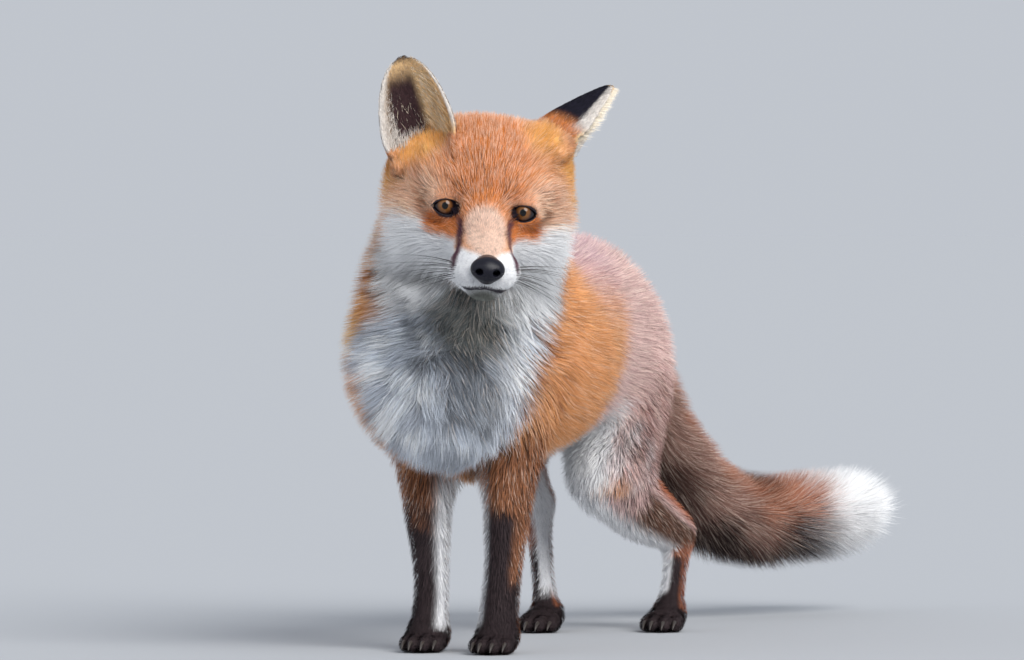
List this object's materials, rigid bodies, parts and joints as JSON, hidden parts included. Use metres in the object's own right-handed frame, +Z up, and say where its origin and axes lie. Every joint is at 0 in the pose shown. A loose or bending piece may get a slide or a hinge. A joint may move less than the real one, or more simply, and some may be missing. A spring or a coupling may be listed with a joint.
{
  "type": "standing red fox model",
  "caption": "Life-size still model of a red fox standing with its head turned to its left, in full coat, with a brush tail trailing behind.",
  "frame": {"origin": "middle of the model's footprint box, at the height of the soles", "axes": "+Z up; the trunk and tail lie along Y, the fox walks towards -Y, and its left side is towards +X; the head is turned to its left"},
  "size_m": [0.2345, 0.8787, 0.4358],
  "materials": {
    "grizzled_coat": "long grey-brown guard hair with pale tips over rufous",
    "rufous_coat": "dense golden-orange fur",
    "white_coat": "long soft white and pale grey fur",
    "black_coat": "short close black fur",
    "eye": "wet amber-brown iris with a dark upright pupil under a clear cornea",
    "nose_pad": "moist black pebbled skin"
  },
  "bodies": {
    "root": {"head": "rufous_coat", "neck": "rufous_coat", "lower_jaw": "white_coat", "nose": "nose_pad", "eye_left": "eye", "eye_right": "eye", "ear_left": "black_coat", "ear_right": "black_coat", "chest": "white_coat", "barrel": "grizzled_coat", "rump": "grizzled_coat", "upper_front_leg_left": "rufous_coat", "upper_front_leg_right": "rufous_coat", "lower_front_leg_left": "black_coat", "lower_front_leg_right": "black_coat", "front_foot_left": "black_coat", "front_foot_right": "black_coat", "thigh_left": "grizzled_coat", "thigh_right": "grizzled_coat", "lower_hind_leg_left": "rufous_coat", "lower_hind_leg_right": "rufous_coat", "hind_foot_left": "black_coat", "hind_foot_right": "black_coat", "tail_base": "grizzled_coat", "tail_end": "grizzled_coat", "tail_tip": "white_coat"}
  },
  "joints": []
}
